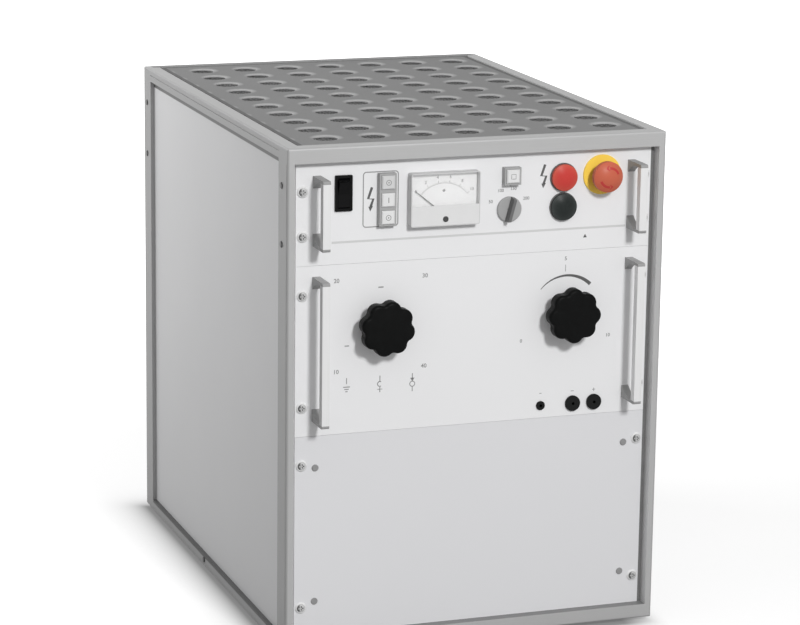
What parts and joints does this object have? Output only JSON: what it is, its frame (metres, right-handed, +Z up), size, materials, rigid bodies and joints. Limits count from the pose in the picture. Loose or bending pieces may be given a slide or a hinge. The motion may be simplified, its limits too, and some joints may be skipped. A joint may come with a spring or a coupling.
{
  "type": "impulse voltage generator",
  "caption": "Bench cabinet of 19-inch panels with bow handles, a panel meter, push buttons, lamps, an emergency stop and lobed knobs, over a vented case.",
  "frame": {"origin": "middle of the bounding box's bottom face, on the surface that the feet stand on", "axes": "+Z up, the front panels face -Y, +X to the right of a person who faces the front"},
  "size_m": [0.5156, 0.735, 0.6673],
  "materials": {
    "frame_silver": "satin, light silver grey",
    "sheet_grey": "fine powder coat, light grey",
    "cover_grey": "fine powder coat, mid grey",
    "wire_dark": "woven wire, dark",
    "zinc_steel": "zinc plated",
    "foot_rubber": "matt black",
    "panel_white": "smooth off-white paint",
    "panel_grey": "smooth light grey paint",
    "screw_steel": "bright steel",
    "washer_white": "white nylon",
    "plug_grey": "grey plastic",
    "screw_black": "black oxide",
    "bracket_grey": "satin mid grey",
    "grip_light": "satin",
    "black_plastic": "glossy black",
    "knob_black": "glossy black",
    "frame_plastic": "matt grey",
    "cap_grey": "satin light grey",
    "meter_body": "satin light grey",
    "meter_front": "satin off-white",
    "meter_pane": "clear, flat",
    "dial_white": "matt white with a plain scale",
    "dark_steel": "dark grey",
    "bright_steel": "bright",
    "selector_grey": "satin grey",
    "selector_dark": "satin dark grey",
    "lamp_rim": "satin dark grey",
    "lens_red": "translucent red",
    "lens_green": "dark translucent green",
    "collar_yellow": "satin yellow",
    "stop_red": "satin red",
    "switch_body": "matt dark grey",
    "resin_board": "brown laminate",
    "copper_winding": "enamelled copper",
    "core_iron": "varnished laminations",
    "capacitor_blue": "painted can",
    "resistor_tan": "cement coated",
    "stack_ivory": "moulded resin",
    "board_green": "solder mask"
  },
  "bodies": {
    "cabinet": {"front_posts": "frame_silver", "rear_posts": "frame_silver", "cross_rails": "frame_silver", "side_rails": "frame_silver", "side_panel_left": "sheet_grey", "side_panel_right": "sheet_grey", "rear_panel": "sheet_grey", "top_cover": "cover_grey", "vent_screen": "wire_dark", "base_plate": "zinc_steel", "rack_strips": "zinc_steel", "cage_nuts": "zinc_steel", "equipment_shelf": "zinc_steel", "feet": "foot_rubber", "control_panel": "panel_white", "stage_panel": "panel_white", "blank_panel": "panel_grey", "rack_screws": "screw_steel", "cup_washers": "washer_white", "hole_plugs": "plug_grey", "case_screws": "screw_black", "handle_brackets": "bracket_grey", "handle_grips": "grip_light", "breaker_frame": "black_plastic", "output_sockets": "black_plastic", "mains_inlet": "black_plastic", "button_frames": "frame_plastic", "meter_case": "meter_body", "meter_cover": "meter_front", "meter_window": "meter_pane", "meter_dial": "dial_white", "meter_movement": "bright_steel", "selector_switch": "selector_grey", "lamp_housings": "lamp_rim", "red_lens": "lens_red", "green_lens": "lens_green", "estop_collar": "collar_yellow", "estop_contacts": "switch_body", "earth_socket": "switch_body", "stage_switch": "resin_board", "variac": "copper_winding", "hv_transformer": "core_iron", "impulse_capacitors": "capacitor_blue", "wave_resistors": "resistor_tan", "rectifier_stack": "stack_ivory", "control_board": "board_green"},
    "mains_rocker": {"breaker_rocker": "black_plastic"},
    "upper_cap": {"upper_button": "cap_grey"},
    "middle_cap": {"middle_button": "cap_grey"},
    "lower_cap": {"lower_button": "cap_grey"},
    "square_cap": {"square_button": "cap_grey"},
    "needle": {"meter_needle": "dark_steel"},
    "zero_adjuster": {"zero_screw": "dark_steel"},
    "selector": {"selector_knob": "selector_dark"},
    "stop_plunger": {"estop_stem": "bright_steel"},
    "stop_head": {"estop_mushroom": "stop_red"},
    "stage_control": {"stage_knob": "knob_black", "stage_shaft": "bright_steel"},
    "voltage_control": {"voltage_knob": "knob_black", "voltage_shaft": "bright_steel"}
  },
  "joints": [
    {"name": "mains_rocker_tilt", "type": "hinge", "parent": "cabinet", "child": "mains_rocker", "pos_m": [-0.179, -0.322, 0.60545], "axis": [-1, 0, 0], "range_deg": [0, 20]},
    {"name": "upper_button_press", "type": "slide", "parent": "cabinet", "child": "upper_cap", "axis": [0, 1, 0], "range_m": [0, 0.004], "stiffness_N_per_m": 400, "springref_m": -0.002},
    {"name": "middle_button_press", "type": "slide", "parent": "cabinet", "child": "middle_cap", "axis": [0, 1, 0], "range_m": [0, 0.004], "stiffness_N_per_m": 400, "springref_m": -0.002},
    {"name": "lower_button_press", "type": "slide", "parent": "cabinet", "child": "lower_cap", "axis": [0, 1, 0], "range_m": [0, 0.004], "stiffness_N_per_m": 400, "springref_m": -0.002},
    {"name": "square_button_press", "type": "slide", "parent": "cabinet", "child": "square_cap", "axis": [0, 1, 0], "range_m": [0, 0.004], "stiffness_N_per_m": 400, "springref_m": -0.002},
    {"name": "needle_sweep", "type": "hinge", "parent": "cabinet", "child": "needle", "pos_m": [-0.0465, -0.332, 0.57245], "axis": [0, 1, 0], "range_deg": [0, 102], "stiffness_Nm_per_rad": 0.00004, "springref_deg": -11.46},
    {"name": "zero_screw_turn", "type": "hinge", "parent": "cabinet", "child": "zero_adjuster", "pos_m": [-0.0465, -0.339, 0.56745], "axis": [0, 1, 0], "range_deg": [-30, 30]},
    {"name": "selector_turn", "type": "hinge", "parent": "cabinet", "child": "selector", "pos_m": [0.0445, -0.33, 0.57295], "axis": [0, 1, 0], "range_deg": [-60, 30]},
    {"name": "emergency_stop_press", "type": "slide", "parent": "cabinet", "child": "stop_plunger", "axis": [0, 1, 0], "range_m": [0, 0.006]},
    {"name": "emergency_stop_twist", "type": "hinge", "parent": "stop_plunger", "child": "stop_head", "pos_m": [0.1725, -0.345, 0.61195], "axis": [0, 1, 0], "range_deg": [0, 45]},
    {"name": "stage_knob_turn", "type": "hinge", "parent": "cabinet", "child": "stage_control", "pos_m": [-0.1275, -0.345, 0.433], "axis": [0, 1, 0], "range_deg": [0, 270]},
    {"name": "voltage_knob_turn", "type": "hinge", "parent": "cabinet", "child": "voltage_control", "pos_m": [0.1275, -0.345, 0.433], "axis": [0, 1, 0], "range_deg": [0, 240]}
  ]
}
